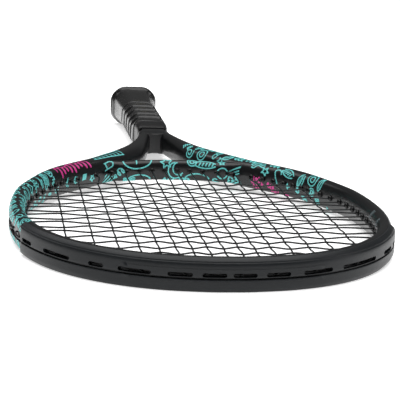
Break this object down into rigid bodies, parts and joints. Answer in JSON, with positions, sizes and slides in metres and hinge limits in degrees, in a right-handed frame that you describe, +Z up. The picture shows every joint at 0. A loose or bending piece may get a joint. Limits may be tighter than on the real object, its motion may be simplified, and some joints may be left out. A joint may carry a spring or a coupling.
{
  "type": "tennis racket",
  "caption": "Strung tennis racket: hollow oval head with an open throat, woven strings in grommets, a bumper round the tip and an octagonal wrapped handle.",
  "frame": {"origin": "middle of the bounding box, at its lowest point, which is the underside of the flared butt; the middle plane of the strings is 20.1 mm above it and the middle of the head is at y = -165.9 mm", "axes": "+X to the right across the head, +Y along the racket from the tip of the head to the butt, +Z up, square to the strings"},
  "size_m": [0.277, 0.6857, 0.0402],
  "materials": {
    "frame_paint": "painted carbon composite, satin black with turquoise and pink line drawings",
    "bumper_nylon": "moulded charcoal nylon, satin",
    "grommet_nylon": "moulded black nylon",
    "string": "dark grey polyester monofilament, satin",
    "pallet_foam": "moulded polyurethane foam",
    "cap_plastic": "moulded black plastic",
    "grip": "black polyurethane replacement grip, matt",
    "tape": "black vinyl finishing tape",
    "collar_rubber": "black rubber",
    "staple_steel": "bright steel wire",
    "plug_foam": "grey closed-cell foam"
  },
  "bodies": {
    "racket": {"frame": "frame_paint", "throat_bridge": "frame_paint", "neck_wrap": "frame_paint", "throat_web": "frame_paint", "bumper_guard": "bumper_nylon", "left_grommet_strip": "grommet_nylon", "right_grommet_strip": "grommet_nylon", "throat_grommet_strip": "grommet_nylon", "main_string": "string", "cross_string": "string", "upper_pallet": "pallet_foam", "lower_pallet": "pallet_foam", "butt_cap": "cap_plastic", "left_staple": "staple_steel", "right_staple": "staple_steel", "grip_wrap": "grip", "finishing_tape": "tape", "left_tube_plug": "plug_foam", "right_tube_plug": "plug_foam"},
    "collar": {"grip_collar": "collar_rubber"},
    "door": {"trap_door": "cap_plastic"}
  },
  "joints": [
    {"name": "collar_slide", "type": "slide", "parent": "racket", "child": "collar", "axis": [0, -1, 0], "range_m": [0, 0.004]},
    {"name": "trap_door_pull", "type": "slide", "parent": "racket", "child": "door", "axis": [0, 1, 0], "range_m": [0, 0.015]}
  ]
}
